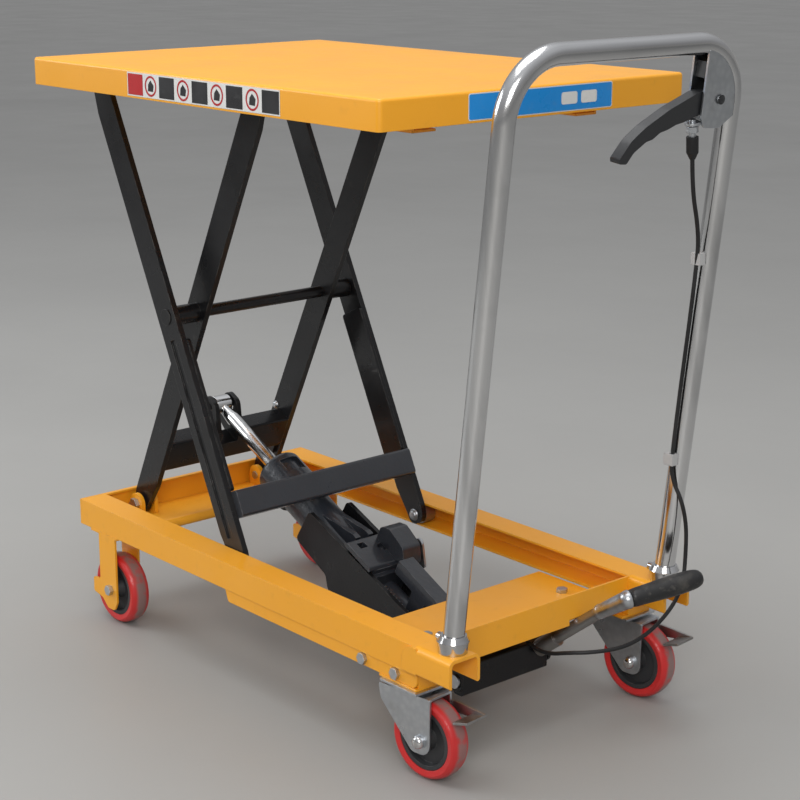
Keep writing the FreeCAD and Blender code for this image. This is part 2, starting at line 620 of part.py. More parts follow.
def place_unit(shape):
    """The unit is drawn along X with its pivot at the origin and its rod towards -X."""
    placed = shape.copy()
    placed.rotate(ORIGIN, Y_AXIS, UNIT_ANGLE)
    placed.translate(PUMP_PIVOT)
    return placed


def pump_cheeks():
    """Two long side plates that hold the barrel and carry the pivot at their rear end."""
    outline = [(-256, 28, 6), (-170, 32, 20), (-36, 38, 10), (18, 34, 14), (26, -18, 16), (0, -25, 12),
               (-70, -44, 16), (-176, -46, 14), (-190, -29, 10), (-262, -26, 6)]
    plate = plate_xz(outline, CHEEK_INNER_Y, CHEEK_INNER_Y + CHEEK_THICK)
    plate = plate.cut(rod_y(0, 0, CHEEK_INNER_Y - 1, CHEEK_INNER_Y + CHEEK_THICK + 1, 7.0 + PIN_FIT))
    return place_unit(group(both_sides(plate)))


def cylinder_barrel():
    """Steel barrel with two cast ribs that fade out along its top."""
    barrel = rod(Vector(-GLAND_REACH + 14, 0, 0), Vector(-170, 0, 0), BARREL_RADIUS)
    bore = rod(Vector(-GLAND_REACH + 13, 0, 0), Vector(-185, 0, 0), BARREL_RADIUS - 6)
    parts = [barrel]
    for y in (-13, 9):
        parts.append(plate_xz([(-248, 20), (-248, 24), (-186, 42, 4), (-178, 42), (-178, 20)], y - 4, y + 4))
    return place_unit(fuse(parts).cut(bore))


def barrel_head():
    """Round head that closes the barrel and guides the rod, with a window in its top."""
    front = -GLAND_REACH
    back = front + 52
    head = rod(Vector(front, 0, 0), Vector(back, 0, 0), HEAD_RADIUS)
    rim = [edge for edge in head.Edges if edge.BoundBox.XMax < front + 1]
    head = head.makeFillet(8.0, rim)
    bore = rod(Vector(front + 14, 0, 0), Vector(back + 1, 0, 0), BARREL_RADIUS)
    hole = rod(Vector(front - 1, 0, 0), Vector(front + 15, 0, 0), ROD_RADIUS + PIN_FIT)
    window = box(front + 14, front + 38, -15, 15, BARREL_RADIUS - 4, HEAD_RADIUS + 1)
    return place_unit(head.cut([bore, hole, window]))


def cylinder_rod():
    """Chromed rod with a tapered neck, a drilled eye and its piston inside the barrel."""
    reach = -UNIT_LENGTH
    shaft = rod(Vector(reach + 34, 0, 0), Vector(-330, 0, 0), ROD_RADIUS)
    neck = Part.makeCone(ROD_RADIUS - 3, ROD_RADIUS, 24, Vector(reach + 10, 0, 0), X_AXIS)
    eye = rod_y(reach, 0, -12, 12, EYE_RADIUS)
    body = fuse([shaft, neck, eye])
    return place_unit(body.cut(rod_y(reach, 0, -13, 13, PIN_RADIUS)))


def rod_pin():
    reach = -UNIT_LENGTH
    return place_unit(rod_y(reach, 0, -24, 24, PIN_RADIUS))


def pump_block():
    """Cast block between the cheeks, with its wide top flange and the plunger's housing."""
    core = box(-170, -112, -29.5, 29.5, -26, 33)
    flange = plate_xz([(-178, 38, 2), (-172, 45, 4), (-122, 45, 4), (-116, 38.5, 2)], -38, 38)
    neck = box(-172, -118, -29, 29, 30, 40)
    tank = rod(Vector(-112, 0, -4), Vector(-30, 0, -4), 20)
    arm = box(-100, PLUNGER_REACH + 9, -12, 12, 48, 68)
    riser = box(-62, -36, -12, 12, 10, 50)
    body = fuse([core, neck, flange, tank, arm, riser])
    bore = rod_z(PLUNGER_REACH, 0, 47, 69, PLUNGER_RADIUS + PIN_FIT)
    window = box(-166, -156, -26, -14, 30, 50)
    screw = rod_z(-150, 6, 36, 50, 7)
    return place_unit(body.cut([bore, window, screw]))


def valve_block():
    """Release valve body on the far side of the block's flange."""
    body = plate_xz([(-166, 45.2), (-166, 66, 8), (-150, 74, 8), (-118, 68, 8), (-106, 50, 6), (-106, 45.2)], 8, 38)
    stem = rod_y(-128, 58, 38, 44, 5)
    return place_unit(fuse([body, stem]))


def valve_lever():
    """Small crank on the valve stem that the cable's wire pulls."""
    lever = plate_xz([(-136, 66, 6), (-120, 66, 6), (-100, 38, 5), (-108, 30, 5)], 44.3, 47.3)
    return place_unit(fuse([lever, rod_y(-128, 58, 47, 51, 6)]))


def pump_plunger():
    """Plunger with a broad foot that the pedal's tongue lifts."""
    shaft = rod_z(PLUNGER_REACH, 0, 30, 62, PLUNGER_RADIUS)
    foot = rod_z(PLUNGER_REACH, 0, 28, 32, 10)
    return place_unit(fuse([shaft, foot]))


def return_spring():
    """Envelope of the pedal's return spring beside the tank."""
    coil = rod(Vector(-104, -22.5, 22), Vector(-30, -22.5, 22), 6.5)
    return place_unit(coil.cut(rod(Vector(-105, -22.5, 22), Vector(-29, -22.5, 22), 4)))


# ---------------------------------------------------------------- foot pedal

PEDAL_ELBOW = Vector(327, 74.5, 149)
PEDAL_KNEE = Vector(372, 73, 178)
PEDAL_TIP = Vector(410, 163, 196)


def pedal_bar():
    """Flat tube across the machine, turning on two stubs, with a tongue to the plunger."""
    x, z = PEDAL_PIVOT.x, PEDAL_PIVOT.z
    y = PEDAL_HALF_LENGTH
    bar = plate_xz([(x - 8, z - 20, 3), (x + 8, z - 20, 3), (x + 8, z + 19, 3), (x - 8, z + 19, 3)], -y, y)
    tongue = plate_xz([(x - 4, z - 8), (x - 50, z - 18.5, 6), (x - 70, z - 18.5, 2), (x - 70, z - 23, 2),
                       (x - 50, z - 24, 6), (x - 4, z - 19)], -8, 8)
    holes = [rod_y(x, z, y - 15, y + 1, PIN_RADIUS + PIN_FIT), rod_y(x, z, -y - 1, -y + 15, PIN_RADIUS + PIN_FIT)]
    return fuse([bar, tongue]).cut(holes)


def pedal_tube():
    """Steel tube that rises from the bar, with the sleeve that clamps it."""
    foot = Vector(241, 54, 79)
    axis = (PEDAL_ELBOW - foot).normalize()
    tube = rod(foot, PEDAL_ELBOW, PEDAL_TUBE_RADIUS)
    sleeve = rod(foot + axis * 2, foot + axis * 36, PEDAL_TUBE_RADIUS + 3)
    keep_out = box(200, 240.2, 0, 90, 40, 120)
    return fuse([tube, sleeve]).cut(keep_out)


def pedal_grip_axis():
    """Unit direction of the grip and the point where its rubber starts."""
    axis = (PEDAL_TIP - PEDAL_KNEE).normalize()
    return axis, PEDAL_KNEE + axis * 2


def pedal_cap():
    """Polished taper that joins the tube to the grip's core."""
    taper = PEDAL_KNEE - PEDAL_ELBOW
    cone = Part.makeCone(PEDAL_TUBE_RADIUS + 1, PEDAL_NECK_RADIUS - 0.3, taper.Length, PEDAL_ELBOW, taper)
    knee = Part.makeSphere(PEDAL_NECK_RADIUS, PEDAL_KNEE)
    elbow = Part.makeSphere(PEDAL_TUBE_RADIUS + 1.4, PEDAL_ELBOW)
    axis, start = pedal_grip_axis()
    beyond = rod(start, start + axis * 20, 3 * PEDAL_NECK_RADIUS)
    return fuse([cone, knee, elbow]).cut([pedal_tube(), beyond])


def pedal_grip():
    """Rubber foot grip, fullest past its middle and closed by a tapered end."""
    axis, start = pedal_grip_axis()
    full = start + axis * (0.55 * (PEDAL_TIP - start).Length)
    last = PEDAL_TIP - axis * 8
    sections = [(start, PEDAL_NECK_RADIUS), (full, PEDAL_GRIP_RADIUS), (last, PEDAL_NECK_RADIUS + 0.5),
                (PEDAL_TIP, PEDAL_NECK_RADIUS - 4)]
    parts = []
    for (a, ra), (b, rb) in zip(sections, sections[1:]):
        parts.append(Part.makeCone(ra, rb, (b - a).Length, a, axis))
    return fuse(parts)


# ---------------------------------------------------------------- handle and release

def lean(shape):
    """Tilt what is drawn upright over the handle's foot to the handle's own angle."""
    placed = shape.copy()
    placed.translate(HANDLE_FOOT)
    placed.rotate(HANDLE_FOOT, Y_AXIS, HANDLE_LEAN)
    return placed


def handle_solid(radius):
    w, h, r = HANDLE_HALF_WIDTH, HANDLE_HEIGHT, HANDLE_BEND
    d = r * (1 - math.sqrt(0.5))
    corner = []
    for side in (-1, 1):
        corner.append((Vector(0, side * w, h - r), Vector(0, side * (w - d), h - d), Vector(0, side * (w - r), h)))
    (a0, a1, a2), (b0, b1, b2) = corner
    wire = Part.Wire([Part.LineSegment(Vector(0, -w, 0), a0).toShape(), Part.Arc(a0, a1, a2).toShape(),
                      Part.LineSegment(a2, b2).toShape(), Part.Arc(b2, b1, b0).toShape(),
                      Part.LineSegment(b0, Vector(0, w, 0)).toShape()])
    return sweep(wire, radius)


def push_handle():
    """One bent tube: two legs, two large bends and the top bar."""
    tube = handle_solid(HANDLE_TUBE).cut(handle_solid(HANDLE_TUBE - HANDLE_WALL))
    placed = lean(tube)
    return placed.cut(box(300, 380, -200, 200, 150, SOCKET_TOP))


def handle_collars():
    """Conical collar around the foot of each leg, with its clamp screw."""
    bore = lean(rod_z(0, HANDLE_HALF_WIDTH, -20, 60, HANDLE_TUBE))
    x = HANDLE_FOOT.x
    ring = fuse([rod_z(x + 1, HANDLE_HALF_WIDTH, SOCKET_TOP, SOCKET_TOP + 5, 17),
                 Part.makeCone(17, 18.5, 9, Vector(x + 1, HANDLE_HALF_WIDTH, SOCKET_TOP + 5), Z_AXIS),
                 Part.makeCone(18.5, 15, 7, Vector(x + 2, HANDLE_HALF_WIDTH, SOCKET_TOP + 14), Z_AXIS)])
    ring = ring.cut(bore)
    screw_z = SOCKET_TOP + 12
    screw = rod(Vector(x - 15, HANDLE_HALF_WIDTH, screw_z), Vector(x - 23, HANDLE_HALF_WIDTH, screw_z), 5)
    return group(both_sides(ring) + both_sides(screw.cut(ring)))


def lever_housing():
    """Two plates that fill the handle's upper corner on both sides of the tube, and the lever's pin."""
    w, h, r = HANDLE_HALF_WIDTH, HANDLE_HEIGHT, HANDLE_BEND
    outline = [(118, h - 4), (118, 590, 6), (124, 578, 6), (150, 576, 6), (w, 592), (w, h - 4)]
    plates = fuse([plate_yz(outline, 9, 11.5), plate_yz(outline, -11.5, -9)])
    outside = box(-20, 20, w - r, w + 20, h - r, h + 20)
    bend = rod(Vector(-20, w - r, h - r), Vector(20, w - r, h - r), r)
    plates = plates.cut([outside.cut(bend), handle_solid(HANDLE_TUBE)])
    hole_y, hole_z = LEVER_PIVOT
    pin = rod(Vector(-13, hole_y, hole_z), Vector(13, hole_y, hole_z), 4)
    return lean(group(plates.cut(pin).Solids + [pin]))


def release_lever():
    """Hand lever under the top bar, thinning towards its tip, with finger waves below."""
    top = [(156, 619, 6), (116, 618.5, 24), (69, 602, 60), (33, 585, 60), (12, 571, 40), (-4, 552, 3),
           (-3, 547, 2)]
    waves = [(8, 546, 3), (18, 558, 20), (36, 568.5, 8), (46, 570.5, 5), (57, 577, 8), (69, 579.5, 5),
             (82, 584, 8), (95, 586, 6), (118, 592, 10), (156, 600, 6)]
    blade = plate_yz(top + waves, -7, 7)
    hole_y, hole_z = LEVER_PIVOT
    hole = rod(Vector(-8, hole_y, hole_z), Vector(8, hole_y, hole_z), 4 + PIN_FIT)
    return lean(blade.cut(hole))


def cable_exit():
    """Point on the handle's corner plate where the cable's adjuster sits."""
    return Vector(*CABLE_ROUTE[0])


def cable_direction():
    return (Vector(*CABLE_ROUTE[1]) - cable_exit()).normalize()


def cable_adjuster():
    """Threaded barrel and lock nut above the boot, on a tab of the corner plate."""
    way = cable_direction()
    start = cable_exit() - way * 46
    screw = rod(start, start + way * 20, 4)
    nut = hexagon(start + way * 8, way, 12, 7)
    tab = rod(start + way * 3, start + way * 6, 9)
    return fuse([screw, nut, tab])


def cable_boot():
    """Rubber boot that covers the end of the sheath."""
    way = cable_direction()
    exit_point = cable_exit()
    body = rod(exit_point - way * 26, exit_point - way * 8, 7)
    cone = Part.makeCone(7, CABLE_RADIUS + 0.8, 8, exit_point - way * 8, way)
    return fuse([body, cone])


def release_cable():
    points = [Vector(*p) for p in CABLE_ROUTE]
    wire, radii = path_wire(points)
    tube = sweep(wire, CABLE_RADIUS)
    print("cable arc radii", [round(r, 1) for r in radii])
    expected = math.pi * CABLE_RADIUS ** 2 * wire.Length
    print("cable length %.1f, tube volume %.1f, section times length %.1f" % (wire.Length, tube.Volume, expected))
    return tube


def cable_clips():
    """Two clips on the handle's leg and the stop beside the pump."""
    parts = []
    wire, radii = path_wire([Vector(*p) for p in CABLE_ROUTE])
    groove = sweep(wire, CABLE_RADIUS + 0.1)
    for point in (CABLE_ROUTE[3], CABLE_ROUTE[4]):
        x, y, z = point
        clip = box(x - 7, x + 7, y - 5, y + 5, z - 7, z + 7)
        parts.append(clip.cut([groove, lean(handle_solid(HANDLE_TUBE))]))
    x, y, z = CABLE_ROUTE[-1]
    stop = box(x - 6, x + 6, 42.5, y + 4.5, z - 12, z)
    parts.append(stop.cut(groove))
    return group(parts)


# ---------------------------------------------------------------- all nodes

def all_parts():
    rail = side_rail().cut(skirt_bolt_shanks(RAIL_OUTER_Y - 10, RAIL_OUTER_Y))
    socket = handle_socket()
    bracket = front_wheel_bracket()
    inner = inner_arm()
    outer = outer_arm()
    parts = {
        "base_rail_left": mirror_y(rail),
        "base_rail_right": rail,
        "front_cross_channel": front_cross_channel(),
        "arm_hinge_ears": arm_hinge_ears(),
        "rear_cross_member": rear_cross_member(),
        "handle_socket_left": mirror_y(socket),
        "handle_socket_right": socket,
        "caster_mounts": group(both_sides(caster_mount())),
        "rear_brackets": rear_brackets(),
        "frame_fasteners": frame_fasteners(),
        "push_handle": push_handle(),
        "handle_collars": handle_collars(),
        "lever_housing": lever_housing(),
        "release_lever": release_lever(),
        "cable_adjuster": cable_adjuster(),
        "cable_boot": cable_boot(),
        "release_cable": release_cable(),
        "cable_clips": cable_clips(),
        "front_bracket_left": mirror_y(bracket),
        "front_bracket_right": bracket,
        "front_axles": group(both_sides(front_axle())),
        "caster_tops": group(both_sides(caster_top())),
        "inner_arm_left": mirror_y(inner),
        "inner_arm_right": inner,
        "inner_cross_channel": inner_cross_channel(),
        "scissor_shaft": scissor_shaft(),
        "outer_arm_left": mirror_y(outer),
        "outer_arm_right": outer,
        "outer_cross_beam": outer_cross_beam(),
        "lower_rollers": lower_rollers(),
        "upper_rollers": upper_rollers(),
        "deck_tray": deck_tray(),
        "deck_underframe": deck_underframe(),
        "pump_cheeks": pump_cheeks(),
        "cylinder_barrel": cylinder_barrel(),
        "barrel_head": barrel_head(),
        "cylinder_rod": cylinder_rod(),
        "rod_pin": rod_pin(),
        "pump_block": pump_block(),
        "valve_block": valve_block(),
        "valve_lever": valve_lever(),
        "pump_plunger": pump_plunger(),
        "return_spring": return_spring(),
        "pedal_bar": pedal_bar(),
        "pedal_tube": pedal_tube(),
        "pedal_cap": pedal_cap(),
        "pedal_grip": pedal_grip(),
    }
    for side, y in (("left", -WHEEL_Y), ("right", WHEEL_Y)):
        parts["front_tyre_" + side] = tyre(FRONT_WHEEL_X, y)
        parts["front_hub_" + side] = hub(FRONT_WHEEL_X, y)
        wheel_x = SWIVEL_X + CASTER_TRAIL
        parts["caster_fork_" + side] = turn_caster(group(caster_fork(y)), y)
        parts["caster_tyre_" + side] = turn_caster(tyre(wheel_x, y), y)
        parts["caster_hub_" + side] = turn_caster(hub(wheel_x, y), y)
        parts["caster_brake_" + side] = turn_caster(caster_brake(y), y)
    return parts


def main():
    os.makedirs("parts", exist_ok=True)
    for name, shape in all_parts().items():
        if not shape.isValid():
            print("INVALID", name)
        shape.exportStep("parts/" + name + ".step")
        print("%-22s %2d solids %9.1f cm3" % (name, len(shape.Solids), shape.Volume / 1000))


main()
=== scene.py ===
import json
import math

import bmesh
import bpy
from mathutils import Matrix, Vector


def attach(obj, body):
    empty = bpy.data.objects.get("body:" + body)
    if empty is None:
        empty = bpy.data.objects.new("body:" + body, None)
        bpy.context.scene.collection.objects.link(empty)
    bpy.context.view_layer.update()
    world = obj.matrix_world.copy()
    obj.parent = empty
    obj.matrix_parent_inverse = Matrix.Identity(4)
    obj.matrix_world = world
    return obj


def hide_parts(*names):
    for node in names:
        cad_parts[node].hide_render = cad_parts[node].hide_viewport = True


# The looks of a hydraulic scissor lift table. Metres, in the CAD model's frame:
# +X points to the push handle, +Z is up and the floor is Z = 0.

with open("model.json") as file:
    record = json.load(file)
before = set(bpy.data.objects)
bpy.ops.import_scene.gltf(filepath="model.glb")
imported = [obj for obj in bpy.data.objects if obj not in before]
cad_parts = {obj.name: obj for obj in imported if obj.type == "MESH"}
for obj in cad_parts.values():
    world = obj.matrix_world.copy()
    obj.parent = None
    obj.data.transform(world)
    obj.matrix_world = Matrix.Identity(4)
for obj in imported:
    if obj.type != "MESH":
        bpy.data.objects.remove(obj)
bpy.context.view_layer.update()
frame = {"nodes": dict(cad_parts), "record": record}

# Where the camera stands and the direction it looks in, in degrees
CAMERA_PLACE = (1.7909, -1.5093, 0.9885)
CAMERA_AZIMUTH = 49.238
CAMERA_ELEVATION = 14.981
CAMERA_LENS = 84.67

# Sizes shared by several pieces
DECK_SIDE_Y = -0.240
DECK_END_X = 0.2845
HANDLE_FOOT = Vector((0.3354, 0.0, 0.166))
HANDLE_LEAN = math.radians(6.8)
PUMP_PIVOT = Vector((0.112, 0.0, 0.054))
UNIT_ANGLE = math.radians(26.119)
WHEEL_Y = 0.178
WHEEL_RADIUS = 0.050
FRONT_WHEEL_X = -0.351
SWIVEL_X = 0.270
CASTER_TRAIL = 0.028
CASTER_TURN = math.radians(6.0)
OUTER_ARM_FACE_Y = 0.149
INNER_ARM_FACE_Y = 0.102
ROLLER_X = -0.102465
ROLLER_Z = 0.148
CHANNEL_BOLT_X = -0.3585
CHANNEL_BOLT_Z = 0.2646
LEVER_PIVOT = (0.146, 0.609)
CABLE_DIAMETER = 0.005
EDGE_RADIUS = 0.0009
CORNER_ANGLE = 32.0

GRIP_SIDES = 20
GRIP_VALLEY = 0.955
CABLE_ROUTE = [
    (403.5, 121, 703), (401, 126, 667), (393, 148, 622), (385, 160, 582), (355, 160.5, 332),
    (359, 161, 305), (371, 165, 282), (374, 172, 250), (373, 174, 212), (378, 166, 182), (380, 152, 160),
    (380, 128, 141), (380, 95, 127), (377, 60, 121), (363, 26, 120), (338, 6, 117), (309, 8, 106),
    (284, 13, 101), (260, 20, 101), (240, 30, 102), (220, 43, 102), (205, 47, 91), (198, 47, 72)]


# ---------------------------------------------------------------- camera and cable

def make_camera():
    """The camera, with no depth of field and no shift."""
    data = bpy.data.cameras.new("camera")
    data.lens = CAMERA_LENS
    data.sensor_width = 36.0
    data.clip_start = 0.05
    data.clip_end = 50.0
    camera = bpy.data.objects.new("camera", data)
    bpy.context.collection.objects.link(camera)
    camera.location = CAMERA_PLACE
    camera.rotation_euler = (math.radians(90 - CAMERA_ELEVATION), 0.0, math.radians(CAMERA_AZIMUTH))
    bpy.context.scene.camera = camera


def curve_object(name, points, radius, material, smooth=True):
    """A round wire through metres points: one smooth NURBS line, or straight runs."""
    data = bpy.data.curves.new(name, "CURVE")
    data.dimensions = "3D"
    data.bevel_depth = radius
    data.bevel_resolution = 6
    data.use_fill_caps = True
    spline = data.splines.new("NURBS" if smooth else "POLY")
    spline.points.add(len(points) - 1)
    for point, place in zip(spline.points, points):
        point.co = (*place, 1.0)
    if smooth:
        spline.order_u = 3
        spline.use_endpoint_u = True
        spline.resolution_u = 10
    obj = bpy.data.objects.new(name, data)
    bpy.context.collection.objects.link(obj)
    obj.data.materials.append(material)
    return obj


# ---------------------------------------------------------------- material tools

class Surface:
    """A principled material with helpers that add one kind of variation each."""

    def __init__(self, name, colour, roughness, metallic=0.0, coat=0.0, specular=0.5):
        self.material = bpy.data.materials.new(name)
        self.material.use_nodes = True
        self.tree = self.material.node_tree
        self.shader = self.tree.nodes["Principled BSDF"]
        self.colour = (*colour, 1.0)
        self.shader.inputs["Base Color"].default_value = self.colour
        self.shader.inputs["Roughness"].default_value = roughness
        self.shader.inputs["Metallic"].default_value = metallic
        self.shader.inputs["Coat Weight"].default_value = coat
        self.shader.inputs["Coat Roughness"].default_value = 0.08
        self.shader.inputs["Specular IOR Level"].default_value = specular
        self.place = self.node("ShaderNodeTexCoord").outputs["Object"]
        self.paint = None
        self.normal = self.rounded_normal()

    def node(self, kind, **settings):
        made = self.tree.nodes.new(kind)
        for key, value in settings.items():
            setattr(made, key, value)
        return made

    def link(self, a, b):
        self.tree.links.new(a, b)

    def stretched(self, scale):
        mapping = self.node("ShaderNodeMapping")
        mapping.inputs["Scale"].default_value = scale
        self.link(self.place, mapping.inputs["Vector"])
        return mapping.outputs["Vector"]

    def noise(self, scale, detail=5.0, stretch=None):
        made = self.node("ShaderNodeTexNoise")
        made.inputs["Scale"].default_value = scale
        made.inputs["Detail"].default_value = detail
        self.link(self.stretched(stretch) if stretch else self.place, made.inputs["Vector"])
        return made.outputs["Fac"]

    def levels(self, value, low, high, to_low=0.0, to_high=1.0):
        made = self.node("ShaderNodeMapRange")
        made.inputs["From Min"].default_value = low
        made.inputs["From Max"].default_value = high
        made.inputs["To Min"].default_value = to_low
        made.inputs["To Max"].default_value = to_high
        self.link(value, made.inputs["Value"])
        return made.outputs["Result"]

    def multiply(self, a, b):
        made = self.node("ShaderNodeMath", operation="MULTIPLY")
        self.link(a, made.inputs[0])
        self.link(b, made.inputs[1])
        return made.outputs[0]

    def tint(self, mask, colour):
        """Blends the colour so far towards another one where the mask is high."""
        mix = self.node("ShaderNodeMix", data_type="RGBA")
        mix.inputs["A"].default_value = self.colour
        if self.paint is not None:
            self.link(self.paint, mix.inputs["A"])
        mix.inputs["B"].default_value = (*colour, 1.0)
        self.link(mask, mix.inputs["Factor"])
        self.paint = mix.outputs["Result"]
        self.link(self.paint, self.shader.inputs["Base Color"])
        return self

    def roughen(self, scale, low, high, stretch=None):
        value = self.levels(self.noise(scale, 4.0, stretch), 0.3, 0.7, low, high)
        self.link(value, self.shader.inputs["Roughness"])
        return self

    def bump(self, height, strength, distance):
        made = self.node("ShaderNodeBump")
        made.inputs["Strength"].default_value = strength
        made.inputs["Distance"].default_value = distance
        self.link(height, made.inputs["Height"])
        self.link(self.normal, made.inputs["Normal"])
        self.normal = made.outputs["Normal"]
        self.link(self.normal, self.shader.inputs["Normal"])
        return self

    def rounded_normal(self):
        """Shades every hard edge as if it were slightly rounded."""
        bevel = self.node("ShaderNodeBevel", samples=4)
        bevel.inputs["Radius"].default_value = EDGE_RADIUS
        return bevel.outputs["Normal"]

    def edge_mask(self, radius, scale):
        """High along outer edges, broken up by noise, as handling wears them; where black paint and cast black
        are tinted lighter there, it is also a painted edge highlight.
        """
        bevel = self.node("ShaderNodeBevel", samples=4)
        bevel.inputs["Radius"].default_value = radius
        geometry = self.node("ShaderNodeNewGeometry")
        dot = self.node("ShaderNodeVectorMath", operation="DOT_PRODUCT")
        self.link(bevel.outputs["Normal"], dot.inputs[0])
        self.link(geometry.outputs["Normal"], dot.inputs[1])
        edge = self.levels(dot.outputs["Value"], 0.995, 0.80)
        return self.multiply(edge, self.levels(self.noise(scale, 8.0), 0.45, 0.62))


def gloss_paint():
    s = Surface("orange_paint", (0.93, 0.41, 0.018), 0.42, coat=0.12)
    s.tint(s.levels(s.noise(3.0), 0.35, 0.75, 0.0, 0.35), (0.84, 0.345, 0.012))
    s.tint(s.levels(s.noise(60.0, 8.0), 0.60, 0.85, 0.0, 0.25), (0.55, 0.22, 0.02))
    s.tint(s.edge_mask(0.0012, 90.0), (0.62, 0.30, 0.06))
    s.roughen(14.0, 0.36, 0.50)
    return s.bump(s.noise(320.0, 3.0), 0.10, 0.0006).bump(s.noise(9.0, 2.0), 0.10, 0.003).material


def black_paint():
    s = Surface("black_paint", (0.007, 0.007, 0.008), 0.30, coat=0.10, specular=0.3)
    s.tint(s.levels(s.noise(5.0), 0.4, 0.75, 0.0, 0.5), (0.014, 0.014, 0.016))
    # lighter grey edges: edge wear and painted edge highlight together
    s.tint(s.edge_mask(0.0014, 60.0), (0.12, 0.115, 0.11))
    s.tint(s.levels(s.noise(45.0, 9.0), 0.66, 0.80, 0.0, 0.5), (0.07, 0.062, 0.055))
    s.roughen(18.0, 0.22, 0.40)
    return s.bump(s.noise(260.0, 4.0), 0.22, 0.0006).material


def cast_black():
    s = Surface("cast_black", (0.020, 0.023, 0.030), 0.24, coat=0.5)
    s.tint(s.levels(s.noise(9.0), 0.4, 0.75, 0.0, 0.6), (0.034, 0.040, 0.052))
    # lighter bluish edges: edge wear and a painted bluish highlight together
    s.tint(s.edge_mask(0.0016, 70.0), (0.16, 0.165, 0.18))
    s.roughen(25.0, 0.26, 0.50)
    return s.bump(s.noise(180.0, 8.0), 0.45, 0.0012).material


def chrome(name, tone, low, high):
    s = Surface(name, tone, low, metallic=1.0)
    s.tint(s.levels(s.noise(22.0, 8.0), 0.58, 0.80, 0.0, 0.35), tuple(0.72 * c for c in tone))
    # dark streaks along the tubes: painted reflection bands
    reflection_streaks = s.noise(60.0, 3.0, stretch=(1.0, 0.03, 0.03))
    s.tint(s.levels(reflection_streaks, 0.44, 0.64, 0.0, 0.45), tuple(0.34 * c for c in tone))
    s.roughen(40.0, low, high, stretch=(1.0, 0.06, 0.06))
    return s.bump(s.noise(500.0, 2.0, stretch=(1.0, 0.08, 0.08)), 0.04, 0.0003).material


def zinc():
    s = Surface("zinc", (0.56, 0.58, 0.60), 0.34, metallic=1.0)
    cells = s.node("ShaderNodeTexVoronoi")
    cells.inputs["Scale"].default_value = 130.0
    s.link(s.place, cells.inputs["Vector"])
    s.tint(s.levels(cells.outputs["Distance"], 0.1, 0.7, 0.0, 0.45), (0.40, 0.42, 0.45))
    s.tint(s.levels(s.noise(30.0, 8.0), 0.62, 0.85, 0.0, 0.5), (0.24, 0.22, 0.20))
    s.roughen(35.0, 0.26, 0.46)
    return s.bump(s.noise(240.0, 5.0), 0.12, 0.0005).material


def plain_steel():
    s = Surface("steel", (0.36, 0.355, 0.35), 0.40, metallic=1.0)
    s.tint(s.levels(s.noise(26.0, 9.0), 0.50, 0.72, 0.0, 0.7), (0.17, 0.145, 0.12))
    s.roughen(40.0, 0.32, 0.55)
    return s.bump(s.noise(200.0, 6.0), 0.25, 0.0006).material


def tread_red(name, centre, turn):
    """Red polyurethane, with a band worn grey round the middle of the tread."""
    s = Surface(name, (0.60, 0.022, 0.022), 0.34, coat=0.15)
    mapping = s.node("ShaderNodeMapping", vector_type="TEXTURE")
    mapping.inputs["Location"].default_value = centre
    mapping.inputs["Rotation"].default_value = (0.0, 0.0, turn)
    s.link(s.place, mapping.inputs["Vector"])
    parts = s.node("ShaderNodeSeparateXYZ")
    s.link(mapping.outputs["Vector"], parts.inputs["Vector"])
    radius = s.node("ShaderNodeVectorMath", operation="LENGTH")
    flat = s.node("ShaderNodeCombineXYZ")
    s.link(parts.outputs["X"], flat.inputs["X"])
    s.link(parts.outputs["Z"], flat.inputs["Z"])
    s.link(flat.outputs["Vector"], radius.inputs[0])
    band = s.levels(radius.outputs["Value"], WHEEL_RADIUS - 0.0016, WHEEL_RADIUS - 0.0004)
    ragged = s.levels(s.noise(55.0, 9.0), 0.34, 0.52)
    s.tint(s.multiply(band, ragged), (0.27, 0.16, 0.15))
    s.tint(s.levels(s.noise(8.0), 0.5, 0.8, 0.0, 0.4), (0.42, 0.014, 0.016))
    s.roughen(30.0, 0.28, 0.50)
    return s.bump(s.noise(300.0, 6.0), 0.12, 0.0005).material


def dark_hub():
    s = Surface("hub_grey", (0.030, 0.031, 0.034), 0.50)
    s.tint(s.levels(s.noise(14.0, 7.0), 0.45, 0.75, 0.0, 0.6), (0.062, 0.060, 0.058))
    s.tint(s.edge_mask(0.0012, 80.0), (0.12, 0.118, 0.115))
    s.roughen(30.0, 0.42, 0.60)
    return s.bump(s.noise(220.0, 6.0), 0.25, 0.0006).material


def rubber(name, colour, low, high):
    s = Surface(name, colour, low, specular=0.35)
    s.tint(s.levels(s.noise(20.0, 8.0), 0.5, 0.8, 0.0, 0.6), tuple(c + 0.025 for c in colour))
    s.roughen(30.0, low, high)
    return s.bump(s.noise(420.0, 5.0), 0.22, 0.0005).material


def worn_rubber():
    """Foot rubber, dulled by dust and scuffed pale along its ridges."""
    s = Surface("grip_rubber", (0.016, 0.016, 0.017), 0.42, specular=0.45)
    s.tint(s.levels(s.noise(36.0, 9.0), 0.50, 0.74, 0.0, 0.8), (0.085, 0.078, 0.068))
    s.tint(s.levels(s.noise(140.0, 6.0), 0.58, 0.80, 0.0, 0.6), (0.13, 0.12, 0.105))
    s.roughen(44.0, 0.34, 0.60)
    return s.bump(s.noise(380.0, 6.0), 0.30, 0.0006).material


def moulded(name, colour, low, high):
    s = Surface(name, colour, low)
    s.tint(s.levels(s.noise(18.0, 8.0), 0.5, 0.8, 0.0, 0.4), tuple(0.7 * c for c in colour))
    s.roughen(24.0, low, high)
    return s.bump(s.noise(520.0, 3.0), 0.10, 0.0004).material


